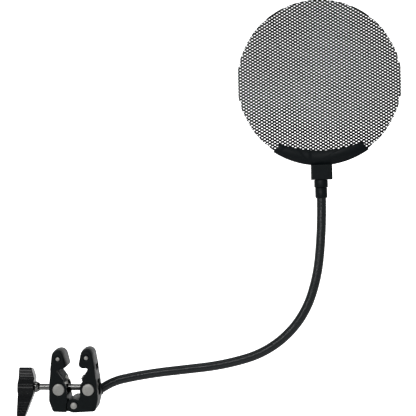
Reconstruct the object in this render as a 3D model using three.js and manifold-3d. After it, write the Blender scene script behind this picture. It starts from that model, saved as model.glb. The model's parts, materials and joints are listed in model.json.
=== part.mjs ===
// Pop filter: a round expanded-metal screen on a gooseneck that a small jaw clamp holds.
// Millimetres, +X right, +Z up; the talker's side of the screen is -Y.
// Origin: the axis of a stand tube gripped between the two V pads, half way through the clamp's depth.
import * as THREE from 'three';
import { mergeVertices } from 'three/addons/utils/BufferGeometryUtils.js';
import Module from 'manifold-3d';

const wasm = await Module();
wasm.setup();

// ---- clamp ----
const DEPTH = 27;            // clamp casting, front to back
const CHANNEL = 19;          // width of the channel inside each arm
const TONGUE = 18;           // width of the moving arm's hinge tongue
const HINGE = { x: 0, z: -33.3 };
const JAW_OPEN = 5;          // degrees that the moving arm stands open from the mirror of the fixed one
const KNUCKLE_R = 6.5;
const KNUCKLE_GAP = 0.6;
const HINGE_PIN_R = 3.1;
const BARREL_R = 5.5;
const BARREL_PROUD = 0.8;    // how far the barrels stand out of the cheeks
const SWIVEL_X = 13.5;
const NUT_X = -14.4;
const SCREW_Z = -18.3;
const PAD_PIN_R = 1.8;
// Round head of an arm, from the hinge: widest in a band at mid depth, drawn in towards both faces.
const HEAD_AT_FACE = { x: 11.5, z: 44.7, r: 4.9, nose: 5.8, under: 35, outer: 18.8 };
const HEAD_AT_MIDDLE = { x: 11.7, z: 46.9, r: 6.4, nose: 3.6, under: 35.8, outer: 20.3 };
const HEAD_LAYERS = [[-4.5, 1], [4.5, 1], [9.3, 0.86], [12.2, 0.55], [13.5, 0]];   // [y, share of the middle]
const NOSE_R = 2.7;
const FLANK_TOP = 35;
const PAD_PIN = { x: 11.5, z: 44.7 };
const FIXED_CORNER = { x: 18.2, z: -2.9, r: 2.5, rise: 3.5 };    // lower outer corner, from the hinge
const MOVING_CORNER = { x: 18, z: -1.7, r: 2.6, rise: 7 };
const RUN = 0.3;             // gap round a turning piece
const FIT = 0.15;            // gap round a fixed piece

// ---- screw and knob ----
const SCREW_R = 3;
const SCREW_RIGHT = 20.6;
const KNOB_FACE = -39.5;     // side of the hub towards the clamp
const KNOB_BACK = -54.7;     // at the screw; the wings' backs slope away from it
const KNOB_BACK_SLOPE = { low: 0.032, high: 0.02 };
const KNOB_HUB_R = 8.2;
const KNOB_LOW = { reach: 28.3, lean: 6, root: 5, tip: 4.2, flat: 5.1 };   // long wing, hanging towards -Y
const KNOB_HIGH = { reach: 18, lean: 17, root: 5, tip: 4.6, flat: 8.2 };   // short wing, standing towards +Y
const KNOB_SLOPE = 0.375;    // how fast the wings narrow outside the flat middle of the knob's front
const RIB = { first: 14.7, pitch: 2.3, count: 5, r: 0.75 };

// ---- gooseneck ----
const NECK_R = 4.4;
const NECK_START = { x: 10.5, z: -29.9 };
const NECK_HEADING = 31;     // degrees above +X
const NECK_BENDS = [         // [length, turn in degrees] of each stretch, from the clamp upwards
  [18, 0], [17.5, -17.5], [45.5, -5.5], [33.5, 0.3], [43.5, 10.3], [48, 28.8], [40.5, 24.9], [36.5, 12.7],
  [55.8, 6.4],
];
const NECK_SOCKETED = 0.6;   // the neck's own lower end, inside the ferrule
const NECK_BACK = 20.2;      // y at the clamp
const NECK_FRONT = -17;      // y at the screen
const NECK_JOINTS = 8;
const FIRST_JOINT = 34;
const LAST_JOINT = 318;
const BALL_R = 3.4;
const STEM_R = 2.4;
const BALL_REACH = 3.2;      // bare stem between two links

// ---- anchor behind the fixed arm ----
const ANCHOR = { along: 16, across: 13, front: 13.8, back: 27.4 };
const FERRULE_R = 5.4;

// ---- screen head, from the bottom centre of the socket block ----
const SCREEN_R = 76.2;
const SCREEN_THICK = 1;
const SCREEN_RISE = 90.7;    // block bottom to screen centre
const BRACKET_R = 77.5;
const BRACKET_THICK = 2;
const BRACKET_GAP = 0.1;
const BRACKET_INNER_R = 104.5;
const BRACKET_TOP = 63.6;    // screen centre down to the top of the crescent's inner edge
const TIP_INNER_X = 37.5;
const TIP_OUTER_X = 44;
const TAB = { half: 7, low: 6 };
const BLOCK = { wide: 19.4, deep: 12, high: 13.6 };
const BLOCK_OFFSET = 0.65;   // from the neck's axis to the middle of the socket block
const COLLAR = { r: 6.4, high: 7.4 };
const SPIGOT_R = 4.95;
const SLEEVE = { r: 5.6, low: -17 };
const BRACKET_SCREWS = [-28, 0, 28];

const rad = THREE.MathUtils.degToRad;

// ---------------------------------------------------------------- solids

function solid(geometry) {
  const bare = geometry.clone();
  bare.deleteAttribute('normal');
  bare.deleteAttribute('uv');
  const merged = mergeVertices(bare, 1e-4);
  return new wasm.Manifold(new wasm.Mesh({
    numProp: 3,
    vertProperties: new Float32Array(merged.attributes.position.array),
    triVerts: new Uint32Array(merged.index.array),
  }));
}

function geometryOf(manifold) {
  const mesh = manifold.getMesh();
  const geometry = new THREE.BufferGeometry();
  geometry.setAttribute('position', new THREE.BufferAttribute(mesh.vertProperties, 3));
  geometry.setIndex(new THREE.BufferAttribute(mesh.triVerts, 1));
  return geometry;
}

function cut(body, ...tools) {
  return tools.reduce((left, tool) => left.subtract(tool), body);
}

function join(...bodies) {
  return bodies.reduce((all, body) => all.add(body));
}

// A closed outline in XZ, extruded from y = front to y = back.
function plate(shape, front, back, curveSegments = 12) {
  const options = { depth: back - front, bevelEnabled: false, curveSegments };
  const geometry = new THREE.ExtrudeGeometry(shape, options);
  geometry.rotateX(Math.PI / 2);
  geometry.translate(0, back, 0);
  return solid(geometry);
}

function polygon(points) {
  return new THREE.Shape(points.map(([x, z]) => new THREE.Vector2(x, z)));
}

function box(x, y, z) {
  const geometry = new THREE.BoxGeometry(x[1] - x[0], y[1] - y[0], z[1] - z[0]);
  geometry.translate((x[0] + x[1]) / 2, (y[0] + y[1]) / 2, (z[0] + z[1]) / 2);
  return solid(geometry);
}

// A profile of [radius, height] points, from the axis back to the axis, turned about the Y axis.
function lathe(profile, segments = 32) {
  return new THREE.LatheGeometry(profile.map(([r, h]) => new THREE.Vector2(r, h)), segments);
}

function rodY(x, z, r, y0, y1, segments = 32) {
  const geometry = new THREE.CylinderGeometry(r, r, y1 - y0, segments);
  geometry.translate(x, (y0 + y1) / 2, z);
  return solid(geometry);
}

function turnedX(profile, z, segments = 28) {
  const geometry = lathe(profile, segments);
  geometry.rotateZ(-Math.PI / 2);
  geometry.translate(0, 0, z);
  return solid(geometry);
}

function turnedZ(profile, segments = 28) {
  const geometry = lathe(profile, segments);
  geometry.rotateX(Math.PI / 2);
  return solid(geometry);
}

// A pin along Y with both rims chamfered.
function pinY(x, z, r, half, chamfer, segments = 36) {
  const geometry = lathe([
    [0, -half], [r - chamfer, -half], [r, chamfer - half],
    [r, half - chamfer], [r - chamfer, half], [0, half],
  ], segments);
  geometry.translate(x, 0, z);
  return solid(geometry);
}

// ---------------------------------------------------------------- finishes

const FINISH = {
  cast: { color: 0x1d2124, roughness: 0.5, metalness: 0.3 },
  steel: { color: 0xb9b9b4, roughness: 0.45, metalness: 1 },
  chrome: { color: 0xd8d8d8, roughness: 0.12, metalness: 1 },
  rubber: { color: 0x4a4d50, roughness: 0.8, metalness: 0 },
  plastic: { color: 0x1c1f22, roughness: 0.45, metalness: 0 },
  neck: { color: 0x1a1d1f, roughness: 0.4, metalness: 0.6 },
  painted: { color: 0x16191b, roughness: 0.4, metalness: 0.3 },
};

const group = new THREE.Group();

function part(name, manifold, finish, parent = group) {
  const mesh = new THREE.Mesh(geometryOf(manifold), new THREE.MeshStandardMaterial(FINISH[finish]));
  mesh.name = name;
  parent.add(mesh);
  return mesh;
}

// ---------------------------------------------------------------- clamp arms
// An arm is drawn from the hinge axis, with x towards its outer side. The moving arm is its mirror.

function armOutline(corner) {
  const shape = new THREE.Shape();
  shape.moveTo(6, 8);
  shape.lineTo(5.5, 16.2);
  shape.lineTo(6.2, 20.1);
  shape.lineTo(8.4, 23.1);
  shape.lineTo(7.5, 24.2);
  shape.lineTo(13.3, 33.6);
  shape.lineTo(12.3, 35);
  headArcs(shape, HEAD_AT_FACE);
  shape.lineTo(HEAD_AT_FACE.outer, FLANK_TOP);
  shape.lineTo(19.8, 30);
  shape.lineTo(21.2, 23.4);
  shape.lineTo(22.2, 13.8);
  shape.lineTo(22.9, 6.5);
  shape.absarc(corner.x, corner.z, corner.r, rad(-12), rad(-90 + corner.rise), true);
  shape.absarc(0, 0, KNUCKLE_R, rad(-90 + corner.rise), rad(-310), true);
  return shape;
}

// The nose's rounded lower corner and the round top, from the underside over to the outer side.
function headArcs(shape, { x, z, r, nose, under }) {
  shape.absarc(nose + NOSE_R, under + NOSE_R, NOSE_R, rad(-90), rad(-180), true);
  shape.absarc(x, z, r, rad(180), rad(5), true);
}

// The full, rounded head and the top of the outer flank, built up in layers through the depth.
function crown() {
  const slices = (share, y) => {
    const at = {};
    for (const key of Object.keys(HEAD_AT_FACE)) {
      at[key] = THREE.MathUtils.lerp(HEAD_AT_FACE[key], HEAD_AT_MIDDLE[key], share);
    }
    const top = new THREE.Shape();
    headArcs(top, at);
    top.lineTo(at.outer, FLANK_TOP);
    const flank = polygon([[16.8, FLANK_TOP], [at.outer - 0.2, FLANK_TOP], [20.7, 24.2], [18.6, 24.2]]);
    return [top, flank].map((shape) => shape.getPoints(9).map((point) => [point.x, y, point.y]));
  };
  const pieces = [];
  for (let i = 1; i < HEAD_LAYERS.length; i += 1) {
    const [y0, share0] = HEAD_LAYERS[i - 1];
    const [y1, share1] = HEAD_LAYERS[i];
    const near = slices(share0, y0);
    const far = slices(share1, y1);
    near.forEach((slice, k) => pieces.push(wasm.Manifold.hull([...slice, ...far[k]])));
  }
  const half = join(...pieces);
  return half.add(half.mirror([0, 1, 0]));
}

// The channel between the cheeks, from height `low` up to the underside of the head.
function channel(low) {
  const outer = low > 0 ? 18.9 : 19.6;
  const outline = polygon([[-12, low], [outer, low], [18.9, 13], [17.9, 23], [16.6, 36], [-12, 36]]);
  return plate(outline, -CHANNEL / 2, CHANNEL / 2);
}

// The slot that the screw swings in, the small window above it, and the slot for the pad's tang.
function armOpenings() {
  return [
    box([10, 26], [-6, 6], [8.6, 22.6]),
    box([15, 26], [-6, 6], [32.2, 37.6]),
    box([9.5, 16.4], [-4.3, 4.3], [34, 48.4]),
  ];
}

function armBores(barrel) {
  return [
    rodY(barrel.x, barrel.z, BARREL_R + RUN, -DEPTH, DEPTH, 40),
    rodY(PAD_PIN.x, PAD_PIN.z, PAD_PIN_R + FIT, -DEPTH, DEPTH, 20),
    rodY(PAD_PIN.x, PAD_PIN.z, PAD_PIN_R + 1.4, -DEPTH, 0.5 - DEPTH / 2, 28),
    rodY(PAD_PIN.x, PAD_PIN.z, PAD_PIN_R + 1.4, DEPTH / 2 - 0.5, DEPTH, 28),
  ];
}

function fixedArm() {
  const { x, z, r } = ANCHOR_SCREW;
  const anchorHole = rodY(x - HINGE.x, z - HINGE.z, r + FIT, 5, DEPTH, 20);
  return cut(
    join(plate(armOutline(FIXED_CORNER), -DEPTH / 2, DEPTH / 2, 9), crown()),
    channel(-12),
    ...armOpenings(),
    ...armBores({ x: SWIVEL_X - HINGE.x, z: SCREW_Z - HINGE.z }),
    rodY(0, 0, HINGE_PIN_R + FIT, -DEPTH, DEPTH),
    anchorHole,
  );
}

// The nut barrel's place in the moving arm's own drawing: un-mirrored and un-opened.
function nutInArm() {
  const x = HINGE.x - NUT_X;
  const z = SCREW_Z - HINGE.z;
  const open = rad(JAW_OPEN);
  return { x: x * Math.cos(open) - z * Math.sin(open), z: z * Math.cos(open) + x * Math.sin(open) };
}

function movingArm() {
  const clearance = KNUCKLE_R + KNUCKLE_GAP;
  const forkSlots = [];
  for (const [front, back] of [[-DEPTH, -TONGUE / 2], [TONGUE / 2, DEPTH]]) {
    forkSlots.push(rodY(0, 0, clearance, front, back, 40));
    forkSlots.push(box([-9, clearance + 0.3], [front, back], [-12, 0]));
  }
  const sideRelief = [
    box([-12, 5.6], [-DEPTH, -TONGUE / 2], [-12, 9]),
    box([-12, 5.6], [TONGUE / 2, DEPTH], [-12, 9]),
  ];
  const arm = cut(
    join(plate(armOutline(MOVING_CORNER), -DEPTH / 2, DEPTH / 2, 9), crown()),
    channel(9),
    ...armOpenings(),
    ...armBores(nutInArm()),
    rodY(0, 0, HINGE_PIN_R + RUN, -DEPTH, DEPTH),
    ...forkSlots,
    ...sideRelief,
  );
  return arm.mirror([1, 0, 0]);
}

// V pad: its face stands a little proud of the cheeks, with shallow cross grooves.
// A tang runs up from it to the pin.
function pad() {
  const body = plate(polygon([
    [6.5, 22.3], [6.9, 24.4], [12.5, 33.7], [13.6, 35.3], [16, 35.3], [16.3, 31], [16.9, 23.2], [9, 22.3],
  ]), -9.2, 9.2);
  const tang = box([10, 16], [-4, 4], [34.6, 47.6]);
  const slope = { x: 12.5 - 6.9, z: 33.7 - 24.4 };
  const grooves = [];
  for (let i = 1; i <= 5; i += 1) {
    const x = 6.9 + (slope.x * i) / 6;
    const z = 24.4 + (slope.z * i) / 6;
    grooves.push(rodY(x - 0.35, z + 0.2, 0.6, -12, 12, 8));
  }
  const pinHole = rodY(PAD_PIN.x, PAD_PIN.z, PAD_PIN_R + FIT, -12, 12, 20);
  return cut(join(body, tang), pinHole, ...grooves, padScrew(FIT));
}

// Cap screw through the pad's lower lip, square to the pad's face, with a round socket in its head.
function padScrew(gap) {
  const headR = 2.6;
  const profile = [
    [0, -3.5 - gap], [1.1 + gap, -3.5 - gap], [1.1 + gap, -gap], [headR + gap, -gap], [headR + gap, 1.7],
    [2.3, 2],
  ];
  const socket = gap > 0 ? [[0, 2]] : [[1.3, 2], [1.3, 0.7], [0, 0.7]];
  const geometry = lathe([...profile, ...socket], 24);
  geometry.rotateX(Math.PI / 2);
  geometry.rotateY(rad(-58.3));
  geometry.translate(7.6, -0.5, 24.2);
  return solid(geometry);
}

// ---------------------------------------------------------------- barrels, screw, knob

function barrel(x) {
  const body = pinY(x, SCREW_Z, BARREL_R, DEPTH / 2 + BARREL_PROUD, 0.35, 40);
  const bore = turnedX([[0, -60], [SCREW_R + RUN, -60], [SCREW_R + RUN, 60], [0, 60]], SCREW_Z);
  return cut(body, bore);
}

function ring(innerR, outerR, x0, x1) {
  const profile = [[innerR, x0], [outerR, x0], [outerR, x1], [innerR, x1], [innerR, x0]];
  return turnedX(profile, SCREW_Z);
}

function clampScrew() {
  const left = KNOB_BACK + 5;
  return turnedX([
    [0, left], [SCREW_R - 0.5, left], [SCREW_R, left + 0.5],
    [SCREW_R, SCREW_RIGHT - 0.6], [SCREW_R - 0.6, SCREW_RIGHT], [0, SCREW_RIGHT],
  ], SCREW_Z);
}

// Washer with a coned shoulder between the knob and the screw.
function knobWasher() {
  const bore = SCREW_R + FIT;
  return turnedX([
    [bore, KNOB_FACE + 0.2], [5.2, KNOB_FACE + 0.2], [5.2, KNOB_FACE + 1.8],
    [3.7, KNOB_FACE + 4.6], [bore, KNOB_FACE + 4.6], [bore, KNOB_FACE + 0.2],
  ], SCREW_Z);
}

// Corners of one wing across the screw, from its root on one side round to the other.
function wingCorners(wing, up) {
  const lean = rad(wing.lean);
  const out = new THREE.Vector2(up * Math.sin(lean), up * Math.cos(lean));
  const side = new THREE.Vector2(out.y, -out.x);
  const place = (across, along) => side.clone().multiplyScalar(across).addScaledVector(out, along);
  return [
    place(wing.root, 0), place(wing.root, KNOB_HUB_R + 1), place(wing.tip, wing.reach - 1.6),
    place(wing.tip - 1.6, wing.reach), place(1.6 - wing.tip, wing.reach), place(-wing.tip, wing.reach - 1.6),
    place(-wing.root, KNOB_HUB_R + 1), place(-wing.root, 0),
  ];
}

// A solid across the screw axis, from an outline in Y and Z round that axis.
function acrossScrew(shape, x0, x1) {
  const options = { depth: x1 - x0, bevelEnabled: false, curveSegments: 8 };
  const geometry = new THREE.ExtrudeGeometry(shape, options);
  geometry.rotateX(Math.PI / 2);
  geometry.rotateZ(Math.PI / 2);
  geometry.translate(x0, 0, SCREW_Z);
  return solid(geometry);
}

// Grip ribs on both faces of the long wing, along the screw.
function knobRibs() {
  const ribs = [];
  for (let i = 0; i < RIB.count; i += 1) {
    const along = RIB.first + i * RIB.pitch;
    const share = (along - KNOB_HUB_R) / (KNOB_LOW.reach - KNOB_HUB_R);
    const half = THREE.MathUtils.lerp(KNOB_LOW.root, KNOB_LOW.tip, share);
    for (const side of [-1, 1]) {
      const lean = rad(KNOB_LOW.lean);
      const y = -along * Math.sin(lean) - side * half * Math.cos(lean);
      const z = -along * Math.cos(lean) + side * half * Math.sin(lean);
      const rib = new THREE.Shape().absarc(y, z, RIB.r, 0, 2 * Math.PI);
      ribs.push(acrossScrew(rib, KNOB_BACK + 0.6, KNOB_FACE));
    }
  }
  return ribs;
}

// Wing knob: a round hub with a long wing and a short one, flat behind and tapering in front.
function knob() {
  const low = wingCorners(KNOB_LOW, -1);
  const high = wingCorners(KNOB_HIGH, 1);
  const hub = new THREE.Shape().absarc(0, 0, KNOB_HUB_R, 0, 2 * Math.PI);
  const body = join(
    acrossScrew(hub, KNOB_BACK - 2, KNOB_FACE),
    acrossScrew(new THREE.Shape(low), KNOB_BACK - 2, KNOB_FACE),
    acrossScrew(new THREE.Shape(high), KNOB_BACK - 2, KNOB_FACE),
    ...knobRibs(),
  );
  const far = 32;
  const taper = (flat) => KNOB_FACE - (far - flat) * KNOB_SLOPE;
  const side = polygon([
    [KNOB_BACK, 0], [KNOB_BACK - far * KNOB_BACK_SLOPE.low, -far],
    [taper(KNOB_LOW.flat), -far], [KNOB_FACE, -KNOB_LOW.flat],
    [KNOB_FACE, KNOB_HIGH.flat], [taper(KNOB_HIGH.flat), far],
    [KNOB_BACK - far * KNOB_BACK_SLOPE.high, far],
  ]);
  const envelope = plate(side, -far, far).translate([0, 0, SCREW_Z]);
  const boreR = SCREW_R + FIT;
  const bore = turnedX([[0, KNOB_BACK + 4.5], [boreR, KNOB_BACK + 4.5], [boreR, 0], [0, 0]], SCREW_Z);
  const dishFloor = KNOB_BACK + 1.2;
  const dish = turnedX([[0, KNOB_BACK - 5], [5.6, KNOB_BACK - 5], [5, dishFloor], [0, dishFloor]], SCREW_Z);
  return cut(body.intersect(envelope), bore, dish);
}

// ---------------------------------------------------------------- gooseneck

const NECK_LENGTH = NECK_BENDS.reduce((sum, [length]) => sum + length, 0);

// Degrees that the head leans anticlockwise, seen from the talker: the neck's heading past upright.
const HEAD_TILT = NECK_BENDS.reduce((sum, [, turn]) => sum + turn, NECK_HEADING) - 90;

// Centre line of the gooseneck at arc length s: round stretches in XZ, with a slow drift from back to front.
function neckPoint(s) {
  let { x, z } = NECK_START;
  let heading = rad(NECK_HEADING);
  let left = s;
  for (const [length, turn] of NECK_BENDS) {
    const run = Math.min(left, length);
    const sweep = (rad(turn) * run) / length;
    const chord = sweep === 0 ? run : (run * Math.sin(sweep / 2)) / (sweep / 2);
    x += chord * Math.cos(heading + sweep / 2);
    z += chord * Math.sin(heading + sweep / 2);
    heading += sweep;
    left -= run;
  }
  x += left * Math.cos(heading);
  z += left * Math.sin(heading);
  const drift = THREE.MathUtils.smoothstep(s, 0, NECK_LENGTH);
  return new THREE.Vector3(x, NECK_BACK + (NECK_FRONT - NECK_BACK) * drift, z);
}

class NeckStretch extends THREE.Curve {
  constructor(from, to) {
    super();
    this.from = from;
    this.to = to;
  }

  getPoint(t, target = new THREE.Vector3()) {
    return target.copy(neckPoint(this.from + (this.to - this.from) * t));
  }
}

function tube(from, to, r, sides = 10) {
  const section = new THREE.Shape();
  for (let i = 0; i < sides; i += 1) {
    const turn = (2 * Math.PI * i) / sides;
    const method = i === 0 ? 'moveTo' : 'lineTo';
    section[method](r * Math.cos(turn), r * Math.sin(turn));
  }
  section.closePath();
  const steps = Math.max(1, Math.round((to - from) / 8));
  const extrudePath = new NeckStretch(from, to);
  return solid(new THREE.ExtrudeGeometry(section, { steps, bevelEnabled: false, extrudePath }));
}

function ball(s, r) {
  const geometry = new THREE.SphereGeometry(r, 10, 7);
  const centre = neckPoint(s);
  geometry.translate(centre.x, centre.y, centre.z);
  return solid(geometry);
}

// One link: a bent tube with a cup at its lower end and a ball on a stem at its upper end.
function neckLink(from, to, cup, pin) {
  let link = tube(from - (cup ? 0.4 : 0), to - (pin ? BALL_REACH : 0), NECK_R);
  if (pin) link = join(link, tube(to - BALL_REACH - 1, to, STEM_R, 8), ball(to, BALL_R));
  if (cup) link = cut(link, ball(from, BALL_R + RUN + 0.1));
  return link;
}

// Turns and moves a manifold made along +Z so that it lies along the neck at arc length s.
function alongNeck(manifold, s) {
  const centre = neckPoint(s);
  const ahead = neckPoint(s + 0.5).sub(neckPoint(s - 0.5)).normalize();
  const pitch = THREE.MathUtils.radToDeg(Math.atan2(ahead.x, ahead.z));
  return manifold.rotate([0, pitch, 0]).translate([centre.x, centre.y, centre.z]);
}

// ---------------------------------------------------------------- anchor

const anchorAxis = { x: Math.cos(rad(NECK_HEADING)), z: Math.sin(rad(NECK_HEADING)) };
const ANCHOR_SCREW = { x: NECK_START.x - 4.6 * anchorAxis.x, z: NECK_START.z - 4.6 * anchorAxis.z, r: 2.2 };

function anchorBlock() {
  const { along, across, front, back } = ANCHOR;
  const block = box([-along / 2, along / 2], [front, back], [-across / 2, across / 2])
    .rotate([0, -NECK_HEADING, 0])
    .translate([NECK_START.x, 0, NECK_START.z]);
  const socket = alongNeck(turnedZ([[0, 0.2], [5.15, 0.2], [5.15, 14], [0, 14]]), 0);
  const barrelRelief = rodY(SWIVEL_X, SCREW_Z, BARREL_R + 0.9, 0, DEPTH / 2 + BARREL_PROUD + RUN);
  const pinRelief = rodY(HINGE.x, HINGE.z, HINGE_PIN_R + 0.6, 0, DEPTH / 2 + BARREL_PROUD + RUN);
  const { x, z, r } = ANCHOR_SCREW;
  const screwHole = rodY(x, z, r + FIT, 0, 40, 20);
  const headSeat = rodY(x, z, r + 1.7, back - 1.2, 40, 24);
  const grubHole = rodY(...grubPlace(), 1.5 + FIT, NECK_BACK + 2, 40, 16);
  return cut(block, socket, barrelRelief, pinRelief, screwHole, headSeat, grubHole);
}

function grubPlace() {
  return [NECK_START.x + 4 * anchorAxis.x, NECK_START.z + 4 * anchorAxis.z];
}

function grubScrew() {
  const [x, z] = grubPlace();
  const body = rodY(x, z, 1.5, NECK_BACK + 5.1, ANCHOR.back - 0.2, 16);
  return cut(body, rodY(x, z, 0.8, ANCHOR.back - 1.2, 40, 6));
}

function anchorScrew() {
  const { x, z, r } = ANCHOR_SCREW;
  const shank = rodY(x, z, r, DEPTH / 2 - 3.6, ANCHOR.back - 1, 20);
  const head = rodY(x, z, r + 1.5, ANCHOR.back - 1.1, ANCHOR.back + 1.2, 24);
  return cut(join(shank, head), rodY(x, z, 1.3, ANCHOR.back, 40, 6));
}

function lowerFerrule() {
  const inside = NECK_R + FIT;
  const flange = ANCHOR.along / 2 + 0.2;
  return alongNeck(turnedZ([
    [inside, 0.5], [5, 0.5], [5, flange], [FERRULE_R, flange], [FERRULE_R, flange + 3], [5, flange + 3.5],
    [inside, flange + 3.5], [inside, 0.5],
  ]), 0);
}

// ---------------------------------------------------------------- screen head

// Outline of a crescent bracket, with a tab that drops into the socket block.
function bracketOutline() {
  const shape = new THREE.Shape();
  const innerRise = SCREEN_RISE - BRACKET_TOP + BRACKET_INNER_R;
  const innerHalf = Math.asin(TIP_INNER_X / BRACKET_INNER_R);
  const outerHalf = Math.asin(TIP_OUTER_X / BRACKET_R);
  const tabHalf = Math.asin(TAB.half / BRACKET_R);
  shape.absarc(0, innerRise, BRACKET_INNER_R, -Math.PI / 2 + innerHalf, -Math.PI / 2 - innerHalf, true);
  shape.absarc(0, SCREEN_RISE, BRACKET_R, -Math.PI / 2 - outerHalf, -Math.PI / 2 - tabHalf, false);
  shape.lineTo(-TAB.half, TAB.low);
  shape.lineTo(TAB.half, TAB.low);
  shape.absarc(0, SCREEN_RISE, BRACKET_R, -Math.PI / 2 + tabHalf, -Math.PI / 2 + outerHalf, false);
  shape.closePath();
  return shape;
}

const bracketInside = SCREEN_THICK / 2 + BRACKET_GAP;
const bracketOutside = bracketInside + BRACKET_THICK;

function bracketScrewPlace(x) {
  return [x, SCREEN_RISE - Math.sqrt(70.8 ** 2 - x ** 2)];
}

function bracketScrewHoles(front) {
  return BRACKET_SCREWS.map((x) => rodY(...bracketScrewPlace(x), 1.5 + FIT, front, 9, 16));
}

function frontBracket() {
  return cut(plate(bracketOutline(), -bracketOutside, -bracketInside, 20), ...bracketScrewHoles(-1.9));
}

function rearBracket() {
  return cut(plate(bracketOutline(), bracketInside, bracketOutside, 20), ...bracketScrewHoles(-9));
}

function bracketScrew(x) {
  const [, z] = bracketScrewPlace(x);
  const shank = rodY(x, z, 1.5, -1.8, bracketOutside + 0.3, 16);
  const head = rodY(x, z, 2.8, bracketOutside + 0.1, bracketOutside + 1.7, 20);
  return cut(join(shank, head), rodY(x, z, 1, bracketOutside + 0.7, 9, 6));
}

function screen() {
  const disc = rodY(0, SCREEN_RISE, SCREEN_R, -SCREEN_THICK / 2, SCREEN_THICK / 2, 64);
  return cut(disc, ...bracketScrewHoles(-9));
}

function socketBlock() {
  const { wide, deep, high } = BLOCK;
  const corner = 1.2;
  const plan = new THREE.Shape();
  plan.absarc(wide / 2 - corner, deep / 2 - corner, corner, 0, rad(90), false);
  plan.absarc(corner - wide / 2, deep / 2 - corner, corner, rad(90), rad(180), false);
  plan.absarc(corner - wide / 2, corner - deep / 2, corner, rad(180), rad(270), false);
  plan.absarc(wide / 2 - corner, corner - deep / 2, corner, rad(270), rad(360), false);
  plan.closePath();
  const geometry = new THREE.ExtrudeGeometry(plan, { depth: high, bevelEnabled: false, curveSegments: 4 });
  const slot = box([-TAB.half - 0.3, TAB.half + 0.3], [-bracketOutside - FIT, bracketOutside + FIT],
    [TAB.low - 0.3, 20]);
  const reliefHalf = bracketOutside + FIT;
  const crescentRelief = rodY(0, SCREEN_RISE, BRACKET_R + FIT, -reliefHalf, reliefHalf, 144);
  const spigotBore = SPIGOT_R + FIT;
  const bore = turnedZ([[0, -1], [spigotBore, -1], [spigotBore, 5.2], [0, 5.2]])
    .translate([-BLOCK_OFFSET, 0, 0]);
  return cut(solid(geometry), slot, crescentRelief, bore, rodY(0, 9.6, 1.5 + FIT, 0, 9, 16));
}

function blockScrew() {
  const body = rodY(0, 9.6, 1.5, bracketOutside + 0.1, BLOCK.deep / 2 - 0.3, 16);
  return cut(body, rodY(0, 9.6, 0.8, BLOCK.deep / 2 - 1.4, 9, 6));
}

function upperCollar() {
  const bore = SPIGOT_R + FIT;
  const { r, high } = COLLAR;
  return turnedZ([
    [bore, 0.2 - high], [r - 0.3, 0.2 - high], [r, 0.6 - high], [r, -0.6], [r - 0.4, -0.2], [bore, -0.2],
    [bore, 0.2 - high],
  ]);
}

function upperSleeve() {
  const bore = NECK_R + FIT;
  const { r, low } = SLEEVE;
  return turnedZ([
    [bore, low], [r - 0.7, low], [r, low + 0.8], [r, -COLLAR.high], [SPIGOT_R, -COLLAR.high], [SPIGOT_R, 5],
    [0, 5], [0, -6], [bore, -6], [bore, low],
  ]);
}

// ---------------------------------------------------------------- assembly

function buildFixedSide() {
  const arm = new THREE.Group();
  arm.position.set(HINGE.x, 0, HINGE.z);
  group.add(arm);
  part('fixed_jaw_arm', fixedArm(), 'cast', arm);
  part('fixed_jaw_pad', pad(), 'rubber', arm);
  part('fixed_pad_screw', padScrew(0), 'steel', arm);
  part('fixed_pad_pin', pinY(PAD_PIN.x, PAD_PIN.z, PAD_PIN_R, DEPTH / 2, 0.25, 20), 'steel', arm);
  part('hinge_pin', pinY(0, 0, HINGE_PIN_R, DEPTH / 2 + 0.6, 0.3), 'steel', arm);
}

function buildMovingSide() {
  const arm = new THREE.Group();
  arm.position.set(HINGE.x, 0, HINGE.z);
  arm.rotation.y = rad(-JAW_OPEN);
  group.add(arm);
  const mirror = (manifold) => manifold.mirror([1, 0, 0]);
  part('moving_jaw_arm', movingArm(), 'cast', arm);
  part('moving_jaw_pad', mirror(pad()), 'rubber', arm);
  part('moving_pad_screw', mirror(padScrew(0)), 'steel', arm);
  part('moving_pad_pin', mirror(pinY(PAD_PIN.x, PAD_PIN.z, PAD_PIN_R, DEPTH / 2, 0.25, 20)), 'steel', arm);
}

function buildScrew() {
  part('swivel_barrel', barrel(SWIVEL_X), 'steel');
  part('nut_barrel', barrel(NUT_X), 'steel');
  part('clamp_screw', clampScrew(), 'chrome');
  const near = BARREL_R + 0.3;
  const far = BARREL_R + 1.4;
  part('screw_ring_inner', ring(SCREW_R + FIT, 4.6, SWIVEL_X - far, SWIVEL_X - near), 'steel');
  part('screw_ring_outer', ring(SCREW_R + FIT, 4.6, SWIVEL_X + near, SWIVEL_X + far), 'steel');
  part('knob_washer', knobWasher(), 'chrome');
  part('clamp_knob', knob(), 'plastic');
}

function buildAnchor() {
  part('neck_anchor_block', anchorBlock(), 'cast');
  part('anchor_screw', anchorScrew(), 'steel');
  part('neck_grub_screw', grubScrew(), 'steel');
  part('neck_lower_ferrule', lowerFerrule(), 'painted');
}

function buildNeck() {
  const step = (LAST_JOINT - FIRST_JOINT) / (NECK_JOINTS - 1);
  const ends = [NECK_SOCKETED];
  for (let i = 0; i < NECK_JOINTS; i += 1) ends.push(FIRST_JOINT + i * step);
  ends.push(NECK_LENGTH + 9);
  for (let i = 0; i + 1 < ends.length; i += 1) {
    const link = neckLink(ends[i], ends[i + 1], i > 0, i < NECK_JOINTS);
    part(`neck_link_${i + 1}`, link, 'neck');
  }
}

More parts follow.
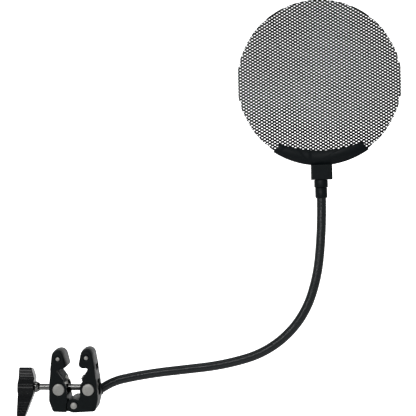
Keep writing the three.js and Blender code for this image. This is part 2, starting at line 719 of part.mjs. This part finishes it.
function buildHead() {
  const head = new THREE.Group();
  head.position.copy(neckPoint(NECK_LENGTH - SLEEVE.low));
  head.rotation.y = rad(-HEAD_TILT);
  group.add(head);
  part('upper_ferrule_collar', upperCollar(), 'painted', head);
  part('upper_ferrule_sleeve', upperSleeve(), 'painted', head);
  const upper = new THREE.Group();
  upper.position.x = BLOCK_OFFSET;
  head.add(upper);
  part('socket_block', socketBlock(), 'painted', upper);
  part('block_set_screw', blockScrew(), 'steel', upper);
  part('front_bracket', frontBracket(), 'painted', upper);
  part('rear_bracket', rearBracket(), 'painted', upper);
  part('mesh_screen', screen(), 'painted', upper);
  BRACKET_SCREWS.forEach((x, i) => part(`bracket_screw_${i + 1}`, bracketScrew(x), 'steel', upper));
}

buildFixedSide();
buildMovingSide();
buildScrew();
buildAnchor();
buildNeck();
buildHead();

export default group;
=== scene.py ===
"""Pop filter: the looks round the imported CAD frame. Metres, +Z up, the talker's side is -Y."""

import json
import math

import bmesh
import bpy
from mathutils import Matrix, Vector


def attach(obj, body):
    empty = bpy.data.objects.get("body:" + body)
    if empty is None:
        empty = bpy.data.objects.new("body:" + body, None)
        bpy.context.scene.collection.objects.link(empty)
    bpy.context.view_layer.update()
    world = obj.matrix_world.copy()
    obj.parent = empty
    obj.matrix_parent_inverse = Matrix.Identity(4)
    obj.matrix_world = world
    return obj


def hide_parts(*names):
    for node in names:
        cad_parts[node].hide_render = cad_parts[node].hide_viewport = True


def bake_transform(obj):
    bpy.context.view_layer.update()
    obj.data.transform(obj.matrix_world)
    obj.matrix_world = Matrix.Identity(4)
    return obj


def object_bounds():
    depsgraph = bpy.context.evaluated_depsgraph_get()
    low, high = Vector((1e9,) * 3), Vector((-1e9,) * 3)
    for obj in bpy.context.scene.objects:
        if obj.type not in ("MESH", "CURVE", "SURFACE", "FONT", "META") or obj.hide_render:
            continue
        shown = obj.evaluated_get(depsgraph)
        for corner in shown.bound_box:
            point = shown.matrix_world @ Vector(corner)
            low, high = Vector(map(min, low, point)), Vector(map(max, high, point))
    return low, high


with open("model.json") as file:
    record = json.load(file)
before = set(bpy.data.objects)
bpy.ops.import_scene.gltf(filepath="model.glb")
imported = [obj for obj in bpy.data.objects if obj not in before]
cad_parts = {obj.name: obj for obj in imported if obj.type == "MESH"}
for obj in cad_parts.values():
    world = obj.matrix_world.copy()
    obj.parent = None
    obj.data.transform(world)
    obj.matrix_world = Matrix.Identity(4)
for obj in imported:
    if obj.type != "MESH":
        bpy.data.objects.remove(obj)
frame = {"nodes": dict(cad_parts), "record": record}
cad_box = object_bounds()

MM = 0.001

# ---- camera ----
VIEW_AIM = Vector((0.1256, 0, 0.1522))
VIEW_DISTANCE = 0.85
VIEW_AZIMUTH = math.radians(1.8)
VIEW_WIDTH = 0.3944          # what the frame spans at the object's middle plane
SENSOR = 36

# ---- studio ----
WALL_GLOW = 1.4              # light that the wall gives off
GLOW_NEAR = 0.6              # how far behind the object the floor starts to glow, and where it glows in full
GLOW_FULL = 1.2
FLOOR_DROP = 0.3             # from the object's lowest point down to the floor
SWEEP_FRONT = -2.0
SWEEP_BACK = 2.4
SWEEP_RADIUS = 0.8
SWEEP_HALF = 2.2
SWEEP_TOP = 1.15
SWEEP_STEPS = 12

# ---- gooseneck, on the CAD model's centre line ----
NECK_START = (10.5 * MM, -29.9 * MM)
NECK_HEADING = math.radians(31)
NECK_BENDS = [               # (length in mm, turn in degrees) of each stretch, from the clamp upwards
    (18, 0), (17.5, -17.5), (45.5, -5.5), (33.5, 0.3), (43.5, 10.3), (48, 28.8), (40.5, 24.9), (36.5, 12.7),
    (55.8, 6.4),
]
NECK_LENGTH = sum(length for length, _ in NECK_BENDS) * MM
NECK_BACK = 20.2 * MM
NECK_FRONT = -17 * MM
NECK_JOINTS = 8
FIRST_JOINT = 34 * MM
LAST_JOINT = 318 * MM
NECK_R = 4.5 * MM            # 0.1 mm proud of the CAD links
NECK_SIDES = 28
WIRE_PITCH = 1.25 * MM
WIRE_DEEP = 0.17 * MM
WIRE_STEPS = 8               # rings of the skin in one turn of the winding
WIRE_ROUND = 0.7             # below 1, the crest of each turn is broader than its groove
SKIN_START = 12 * MM
SKIN_PAST_END = 4 * MM       # hidden in the upper ferrule
BLEND_REACH = 0.45           # share of a link either side of a joint, looked up at each joint but not used to bend the skin

# ---- screen, from the bottom centre of the socket block ----
HEAD_RISE = 17 * MM          # from the neck's upper end to the block's underside
BLOCK_OFFSET = 0.65 * MM     # from the neck's axis to the middle of the socket block and the screen
HEAD_TILT = NECK_HEADING + math.radians(sum(turn for _, turn in NECK_BENDS)) - math.pi / 2
SCREEN_RISE = 90.7 * MM
SCREEN_R = 76.2 * MM
CELL_WIDE = 4.69 * MM
CELL_HIGH = 2.88 * MM
OPENING_WIDE = 1.96 * MM     # length of one opening, corner to corner
OPENING_FLAT = 0.6 * MM      # length of its flat top and bottom
OPENING_HIGH = 0.92 * MM
SHEET = 0.5 * MM
LOUVRE = 0.12                # how steeply the strands lean
RIM = 0.45 * MM


# ================================================================ geometry helpers

def neck_point(s):
    """Centre line of the gooseneck at arc length s."""
    x, z = NECK_START
    heading = NECK_HEADING
    left = s
    for length, turn in NECK_BENDS:
        run = min(left, length * MM)
        sweep = math.radians(turn) * run / (length * MM)
        chord = run * math.sin(sweep / 2) / (sweep / 2) if sweep else run
        x += chord * math.cos(heading + sweep / 2)
        z += chord * math.sin(heading + sweep / 2)
        heading += sweep
        left -= run
    x += left * math.cos(heading)
    z += left * math.sin(heading)
    u = min(1, max(0, s / NECK_LENGTH))
    drift = u * u * (3 - 2 * u)
    return Vector((x, NECK_BACK + (NECK_FRONT - NECK_BACK) * drift, z))


def head_place():
    """Turns a point drawn from the socket block's underside into its place on the object."""
    base = neck_point(NECK_LENGTH + HEAD_RISE)
    return Matrix.Translation(base) @ Matrix.Rotation(-HEAD_TILT, 4, "Y")


def object_from(bm, name):
    """A smooth-shaded object from a finished bmesh."""
    mesh = bpy.data.meshes.new(name)
    bmesh.ops.recalc_face_normals(bm, faces=bm.faces)
    bm.to_mesh(mesh)
    bm.free()
    mesh.polygons.foreach_set("use_smooth", [True] * len(mesh.polygons))
    obj = bpy.data.objects.new(name, mesh)
    bpy.context.scene.collection.objects.link(obj)
    return obj


def bake(obj):
    """Replaces an object's mesh by what its modifiers make of it."""
    bpy.context.view_layer.update()
    graph = bpy.context.evaluated_depsgraph_get()
    made = bpy.data.meshes.new_from_object(obj.evaluated_get(graph))
    obj.modifiers.clear()
    obj.data = made
    return obj


def home_bodies():
    """Body that each CAD node rides on."""
    return {node: body for body, nodes in frame["record"]["behaviour"]["bodies"].items() for node in nodes}


def finish_slots():
    """Material slot of each CAD node."""
    return {row["node"]: row["material_slot"] for row in frame["record"]["subparts"]}


def refined(node, name):
    """A new piece that starts as a copy of a CAD node's mesh and stands for that node."""
    obj = bpy.data.objects.new(name, frame["nodes"][node].data.copy())
    bpy.context.scene.collection.objects.link(obj)
    return obj


def stands_for(obj, node):
    """Gives a piece its CAD node's finish and body, and takes the node's place."""
    slot = finish_slots()[node]
    obj.data.polygons.foreach_set("use_smooth", [True] * len(obj.data.polygons))
    paint(obj, slot)
    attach(obj, home_bodies()[node])
    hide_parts(node)
    return obj


def cast(node, name, voxel, rounds, keep):
    """A moulded or cast piece: every edge and inner corner gets the soft radius of a casting."""
    obj = refined(node, name)
    remesh = obj.modifiers.new("skin", "REMESH")
    remesh.mode = "VOXEL"
    remesh.voxel_size = voxel * MM
    soft = obj.modifiers.new("soft", "SMOOTH")
    soft.factor = 0.5
    soft.iterations = rounds
    thinned = obj.modifiers.new("thinned", "DECIMATE")
    thinned.ratio = keep
    bake(obj)
    return stands_for(obj, node)


def machined(node, name, width):
    """A turned, milled or punched piece: flats stay flat and each sharp edge is broken."""
    obj = refined(node, name)
    weld = obj.modifiers.new("weld", "WELD")
    weld.merge_threshold = 0.002 * MM
    planar = obj.modifiers.new("planar", "DECIMATE")
    planar.decimate_type = "DISSOLVE"
    planar.angle_limit = math.radians(0.5)
    bevel = obj.modifiers.new("edges", "BEVEL")
    bevel.width = width * MM
    bevel.segments = 2
    bevel.limit_method = "ANGLE"
    bevel.angle_limit = math.radians(30)
    bevel.harden_normals = True
    bake(obj)
    return stands_for(obj, node)


# ================================================================ materials

class Shader:
    """A Principled material with a few named building blocks."""

    def __init__(self, name, color, roughness, metallic=0.0, specular=0.5):
        self.material = bpy.data.materials.new(name)
        self.material.use_nodes = True
        self.nodes = self.material.node_tree.nodes
        self.links = self.material.node_tree.links
        self.principled = self.nodes["Principled BSDF"]
        self.principled.inputs["Base Color"].default_value = (*color, 1)
        self.principled.inputs["Roughness"].default_value = roughness
        self.principled.inputs["Metallic"].default_value = metallic
        self.principled.inputs["Specular IOR Level"].default_value = specular
        self.height = None

    def place(self):
        return self.nodes.new("ShaderNodeTexCoord").outputs["Object"]

    def noise(self, scale, detail=4, roughness=0.55):
        node = self.nodes.new("ShaderNodeTexNoise")
        node.inputs["Scale"].default_value = scale
        node.inputs["Detail"].default_value = detail
        node.inputs["Roughness"].default_value = roughness
        self.links.new(self.place(), node.inputs["Vector"])
        return node.outputs["Fac"]

    def voronoi(self, scale):
        node = self.nodes.new("ShaderNodeTexVoronoi")
        node.inputs["Scale"].default_value = scale
        self.links.new(self.place(), node.inputs["Vector"])
        return node.outputs["Distance"]

    def ribs(self, pitch):
        """Soft moulded ribs that follow each other upwards."""
        node = self.nodes.new("ShaderNodeTexWave")
        node.bands_direction = "Z"
        node.inputs["Scale"].default_value = math.pi / 10 / pitch
        node.inputs["Distortion"].default_value = 0.6
        self.links.new(self.place(), node.inputs["Vector"])
        return node.outputs["Fac"]

    def spread(self, value, low, high):
        node = self.nodes.new("ShaderNodeMapRange")
        node.inputs["To Min"].default_value = low
        node.inputs["To Max"].default_value = high
        self.links.new(value, node.inputs["Value"])
        return node.outputs["Result"]

    def vary_roughness(self, value, low, high):
        self.links.new(self.spread(value, low, high), self.principled.inputs["Roughness"])

    def vary_color(self, value, dark, light):
        node = self.nodes.new("ShaderNodeMix")
        node.data_type = "RGBA"
        node.inputs["A"].default_value = (*dark, 1)
        node.inputs["B"].default_value = (*light, 1)
        self.links.new(value, node.inputs["Factor"])
        self.links.new(node.outputs["Result"], self.principled.inputs["Base Color"])

    def bump(self, value, strength, distance):
        node = self.nodes.new("ShaderNodeBump")
        node.inputs["Strength"].default_value = strength
        node.inputs["Distance"].default_value = distance
        self.links.new(value, node.inputs["Height"])
        if self.height is not None:
            self.links.new(self.height, node.inputs["Normal"])
        self.height = node.outputs["Normal"]
        self.links.new(self.height, self.principled.inputs["Normal"])


def cast_black():
    s = Shader("cast_black", (0.005, 0.0078, 0.009), 0.5, 0.0, 0.22)
    s.vary_color(s.noise(900, 5), (0.0035, 0.0062, 0.0072), (0.0075, 0.0112, 0.0125))
    s.vary_roughness(s.noise(350), 0.42, 0.62)
    s.bump(s.noise(1500, 3), 0.3, 0.12 * MM)
    s.bump(s.noise(170, 2), 0.15, 0.3 * MM)
    return s.material


def satin_black():
    s = Shader("satin_black", (0.006, 0.008, 0.009), 0.45, 0.0, 0.25)
    s.vary_color(s.noise(500), (0.0035, 0.0068, 0.008), (0.0065, 0.0115, 0.013))
    s.vary_roughness(s.noise(700), 0.36, 0.54)
    s.bump(s.noise(2600, 2), 0.15, 0.06 * MM)
    return s.material


def bracket_black():
    s = Shader("bracket_black", (0.007, 0.0095, 0.011), 0.45, 0.0, 0.25)
    s.vary_color(s.noise(120, 3), (0.0045, 0.0075, 0.0092), (0.0075, 0.0115, 0.0135))
    s.vary_roughness(s.noise(400), 0.4, 0.52)
    s.bump(s.noise(3000, 2), 0.12, 0.05 * MM)
    return s.material


def mesh_black():
    s = Shader("mesh_black", (0.003, 0.003, 0.0035), 0.55, 0.0, 0.18)
    s.vary_color(s.noise(240, 2), (0.0025, 0.0025, 0.003), (0.005, 0.005, 0.0055))
    s.vary_roughness(s.noise(800), 0.46, 0.64)
    s.bump(s.noise(3500, 2), 0.15, 0.05 * MM)
    return s.material


def neck_black():
    s = Shader("neck_black", (0.007, 0.0095, 0.0105), 0.22, 0.0, 0.65)
    s.vary_color(s.noise(260, 3), (0.005, 0.009, 0.0105), (0.0105, 0.016, 0.018))
    s.vary_roughness(s.noise(900), 0.17, 0.28)
    return s.material


def knob_plastic():
    s = Shader("knob_plastic", (0.003, 0.004, 0.0055), 0.26, 0.0, 0.32)
    s.vary_color(s.noise(160, 3), (0.0018, 0.0026, 0.0036), (0.0035, 0.0045, 0.006))
    s.vary_roughness(s.noise(500), 0.22, 0.34)
    s.bump(s.ribs(5.4 * MM), 1, 0.22 * MM)
    s.bump(s.voronoi(2200), 0.06, 0.06 * MM)
    return s.material


def pad_rubber():
    s = Shader("pad_rubber", (0.06, 0.066, 0.07), 0.8, 0.0, 0.25)
    s.vary_color(s.noise(420), (0.045, 0.05, 0.054), (0.085, 0.09, 0.095))
    s.vary_roughness(s.noise(600), 0.7, 0.9)
    s.bump(s.noise(1500), 0.3, 0.12 * MM)
    return s.material


def bare_steel():
    s = Shader("bare_steel", (0.66, 0.65, 0.61), 0.55, 1.0)
    s.vary_color(s.noise(1800, 3), (0.46, 0.455, 0.43), (0.84, 0.83, 0.79))
    s.vary_roughness(s.noise(1300), 0.46, 0.64)
    s.bump(s.noise(2400, 2), 0.35, 0.08 * MM)
    return s.material


def screw_chrome():
    s = Shader("screw_chrome", (0.29, 0.29, 0.285), 0.12, 1.0)
    s.vary_color(s.noise(300, 2), (0.24, 0.24, 0.235), (0.34, 0.34, 0.33))
    s.vary_roughness(s.noise(700), 0.06, 0.14)
    s.bump(s.noise(1200, 2), 0.06, 0.05 * MM)
    return s.material


MATERIALS = {
    "cast_black": cast_black(),
    "satin_black": satin_black(),
    "bracket_black": bracket_black(),
    "mesh_black": mesh_black(),
    "neck_black": neck_black(),
    "knob_plastic": knob_plastic(),
    "pad_rubber": pad_rubber(),
    "bare_steel": bare_steel(),
    "screw_chrome": screw_chrome(),
}


def paint(obj, slot):
    obj.data.materials.clear()
    obj.data.materials.append(MATERIALS[slot])
    return obj


# ================================================================ expanded-metal screen

def cell_points(cx, cz):
    """The opening and the four bonds round one cell, as (x, z, lean) with the bonds last."""
    side = OPENING_WIDE / 2
    flat = OPENING_FLAT / 2
    top = OPENING_HIGH / 2
    lean = LOUVRE * top
    opening = [
        (cx - side, cz, 0), (cx - flat, cz + top, lean), (cx + flat, cz + top, lean),
        (cx + side, cz, 0), (cx + flat, cz - top, -lean), (cx - flat, cz - top, -lean),
    ]
    bonds = [
        (cx - CELL_WIDE / 2, cz, 0), (cx, cz + CELL_HIGH / 2, 0),
        (cx + CELL_WIDE / 2, cz, 0), (cx, cz - CELL_HIGH / 2, 0),
    ]
    return opening, bonds


def within(point, limit):
    """Pulls a point outside the trimmed circle back onto it."""
    x, z, lean = point
    r = math.hypot(x, z)
    if r <= limit:
        return x, z, lean
    return x * limit / r, z * limit / r, lean * 0.3


def expanded_metal():
    """The louvred screen: one leaning strand net, trimmed round, then given the sheet's thickness."""
    bm = bmesh.new()
    made = {}
    same = 0.02 * MM

    def vertex(point, limit):
        x, z, lean = within(point, limit)
        key = (round(x / same), round(z / same))
        if key not in made:
            made[key] = bm.verts.new((x, lean, z))
        return made[key]

    rows = int(SCREEN_R / CELL_HIGH * 2) + 2
    columns = int(SCREEN_R / CELL_WIDE) + 2
    for row in range(-rows, rows + 1):
        shift = 0.5 if row % 2 else 0
        for column in range(-columns, columns + 1):
            cx = (column + shift) * CELL_WIDE
            cz = row * CELL_HIGH / 2
            if math.hypot(cx, cz) > SCREEN_R + 0.2 * CELL_HIGH:
                continue
            opening, bonds = cell_points(cx, cz)
            o = [vertex(p, SCREEN_R - RIM) for p in opening]
            b = [vertex(p, SCREEN_R) for p in bonds]
            for face in (
                (o[0], b[0], b[1], o[1]), (o[1], b[1], o[2]), (o[2], b[1], b[2], o[3]),
                (o[3], b[2], b[3], o[4]), (o[4], b[3], o[5]), (o[5], b[3], b[0], o[0]),
            ):
                corners = list(dict.fromkeys(face))
                if len(corners) > 2 and not bm.faces.get(corners):
                    bm.faces.new(corners)
    bmesh.ops.dissolve_degenerate(bm, edges=bm.edges, dist=0.01 * MM)
    screen = object_from(bm, "screen_expanded_metal")
    thick = screen.modifiers.new("sheet", "SOLIDIFY")
    thick.thickness = SHEET
    thick.offset = 0
    bake(screen)
    screen.data.polygons.foreach_set("use_smooth", [True] * len(screen.data.polygons))
    screen.data.transform(head_place() @ Matrix.Translation((BLOCK_OFFSET, 0, SCREEN_RISE)))
    paint(screen, "mesh_black")
    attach(screen, "head")
    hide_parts("mesh_screen")


# ================================================================ gooseneck skin

def neck_frame(s):
    """Two unit vectors square to the neck at arc length s."""
    ahead = (neck_point(s + 0.2 * MM) - neck_point(s - 0.2 * MM)).normalized()
    across = Vector((0, 1, 0))
    across = (across - ahead * across.dot(ahead)).normalized()
    return across, ahead.cross(across)


def wound_tube(name, start, end):
    """A stretch of the wound neck: a tube whose surface rises and falls with the winding."""
    step = WIRE_PITCH / WIRE_STEPS
    first = round(start / step)
    last = round(end / step)
    bm = bmesh.new()
    rings = []
    for i in range(first, last + 1):
        s = i * step
        centre = neck_point(s)
        across, up = neck_frame(s)
        ring = []
        for j in range(NECK_SIDES):
            turn = 2 * math.pi * j / NECK_SIDES
            phase = (s / WIRE_PITCH - j / NECK_SIDES) % 1
            r = NECK_R - WIRE_DEEP * (1 - math.sin(math.pi * phase) ** WIRE_ROUND)
            ring.append(bm.verts.new(centre + across * (r * math.cos(turn)) + up * (r * math.sin(turn))))
        rings.append(ring)
    for low, high in zip(rings, rings[1:]):
        for j in range(NECK_SIDES):
            k = (j + 1) % NECK_SIDES
            bm.faces.new((low[j], low[k], high[k], high[j]))
    bm.faces.new(rings[0])
    bm.faces.new(rings[-1])
    return object_from(bm, name)


def gooseneck():
    """Eight stretches of the wound neck, cut at the middles of the CAD links."""
    gap = (LAST_JOINT - FIRST_JOINT) / (NECK_JOINTS - 1)
    joints = [FIRST_JOINT + i * gap for i in range(NECK_JOINTS)]
    for i, joint in enumerate(joints):
        start = joint - gap / 2 if i else SKIN_START
        end = joint + gap / 2 if i < NECK_JOINTS - 1 else NECK_LENGTH + SKIN_PAST_END
        skin = wound_tube(f"gooseneck_{i + 1}", start, end)
        paint(skin, "neck_black")
        reach = BLEND_REACH * gap
        neck_point(joint - reach)
        neck_point(joint + reach)
        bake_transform(skin)
        last_link = [f"neck_link_{i + 2}"] if i == NECK_JOINTS - 1 else []
        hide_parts(f"neck_link_{i + 1}", *last_link)


# ================================================================ stage

def floor():
    """A pale floor that sweeps up into a lit white wall behind the object."""
    low = cad_box[0].z - FLOOR_DROP
    bend = SWEEP_BACK - SWEEP_RADIUS
    outline = [(SWEEP_FRONT, low), (0.6, low), (1.1, low), (bend, low)]
    for i in range(1, SWEEP_STEPS):
        turn = math.pi / 2 * i / SWEEP_STEPS
        outline.append((bend + SWEEP_RADIUS * math.sin(turn), low + SWEEP_RADIUS * (1 - math.cos(turn))))
    outline += [(SWEEP_BACK, low + SWEEP_RADIUS), (SWEEP_BACK, SWEEP_TOP)]
    bm = bmesh.new()
    sides = [[bm.verts.new((x, y, z)) for y, z in outline] for x in (-SWEEP_HALF, SWEEP_HALF)]
    for i in range(len(outline) - 1):
        bm.faces.new((sides[0][i], sides[1][i], sides[1][i + 1], sides[0][i + 1]))
    sweep = object_from(bm, "floor")
    s = Shader("floor", (0.85, 0.85, 0.85), 0.85)
    along = s.nodes.new("ShaderNodeSeparateXYZ")
    s.links.new(s.place(), along.inputs["Vector"])
    glow = s.nodes.new("ShaderNodeMapRange")
    glow.interpolation_type = "SMOOTHSTEP"
    glow.inputs["From Min"].default_value = GLOW_NEAR
    glow.inputs["From Max"].default_value = GLOW_FULL
    glow.inputs["To Max"].default_value = WALL_GLOW
    s.links.new(along.outputs["Y"], glow.inputs["Value"])
    s.links.new(glow.outputs["Result"], s.principled.inputs["Emission Strength"])
    s.principled.inputs["Emission Color"].default_value = (1, 1, 1, 1)
    sweep.data.materials.append(s.material)


def light(name, place, size, power):
    """A rectangular soft light that faces the middle of the object."""
    data = bpy.data.lights.new(name, "AREA")
    data.shape = "RECTANGLE"
    data.size, data.size_y = size
    data.energy = power
    obj = bpy.data.objects.new(name, data)
    bpy.context.scene.collection.objects.link(obj)
    obj.location = place
    obj.rotation_mode = "QUATERNION"
    obj.rotation_quaternion = (VIEW_AIM - Vector(place)).to_track_quat("-Z", "Y")


def lights():
    light("key", (-0.35, -1.3, 0.75), (1.2, 0.16), 6)
    light("top", (0.1, -0.1, 1.5), (0.8, 0.3), 1.5)
    world = bpy.data.worlds.new("studio")
    world.use_nodes = True
    world.node_tree.nodes["Background"].inputs["Color"].default_value = (0.2, 0.205, 0.21, 1)
    bpy.context.scene.world = world
    bpy.context.scene.view_settings.view_transform = "Standard"


def camera():
    data = bpy.data.cameras.new("camera")
    data.sensor_width = SENSOR
    data.lens = SENSOR * VIEW_DISTANCE / VIEW_WIDTH
    data.clip_end = 20
    obj = bpy.data.objects.new("camera", data)
    bpy.context.scene.collection.objects.link(obj)
    back = Vector((math.sin(VIEW_AZIMUTH), -math.cos(VIEW_AZIMUTH), 0))
    obj.location = VIEW_AIM + back * VIEW_DISTANCE
    obj.rotation_mode = "QUATERNION"
    obj.rotation_quaternion = (-back).to_track_quat("-Z", "Y")
    bpy.context.scene.camera = obj


CASTINGS = {                 # node: (name, voxel in mm, smoothing rounds, share of the faces kept)
    "fixed_jaw_arm": ("jaw_arm_fixed", 0.3, 4, 0.3),
    "moving_jaw_arm": ("jaw_arm_moving", 0.3, 4, 0.3),
    "clamp_knob": ("wing_knob", 0.25, 2, 0.5),
    "neck_anchor_block": ("anchor_block", 0.3, 4, 0.4),
    "socket_block": ("socket_block_milled", 0.3, 3, 0.4),
    "fixed_jaw_pad": ("jaw_pad_fixed", 0.22, 2, 0.4),
    "moving_jaw_pad": ("jaw_pad_moving", 0.22, 2, 0.4),
}
MACHINED = {                 # node: width of its broken edges in mm
    "front_bracket": 0.3, "rear_bracket": 0.3, "hinge_pin": 0.25, "fixed_pad_pin": 0.2, "moving_pad_pin": 0.2,
    "swivel_barrel": 0.25, "nut_barrel": 0.25, "screw_ring_inner": 0.15, "screw_ring_outer": 0.15,
    "knob_washer": 0.2, "clamp_screw": 0.2, "fixed_pad_screw": 0.15, "moving_pad_screw": 0.15,
    "anchor_screw": 0.25, "neck_grub_screw": 0.1, "neck_lower_ferrule": 0.25, "block_set_screw": 0.15,
    "upper_ferrule_collar": 0.3, "upper_ferrule_sleeve": 0.25, "bracket_screw_1": 0.15,
    "bracket_screw_2": 0.15, "bracket_screw_3": 0.15,
}


def finished_frame():
    for node, (name, voxel, rounds, keep) in CASTINGS.items():
        cast(node, name, voxel, rounds, keep)
    for node, width in MACHINED.items():
        machined(node, f"{node}_finished", width)


camera()
lights()
floor()
finished_frame()
expanded_metal()
gooseneck()
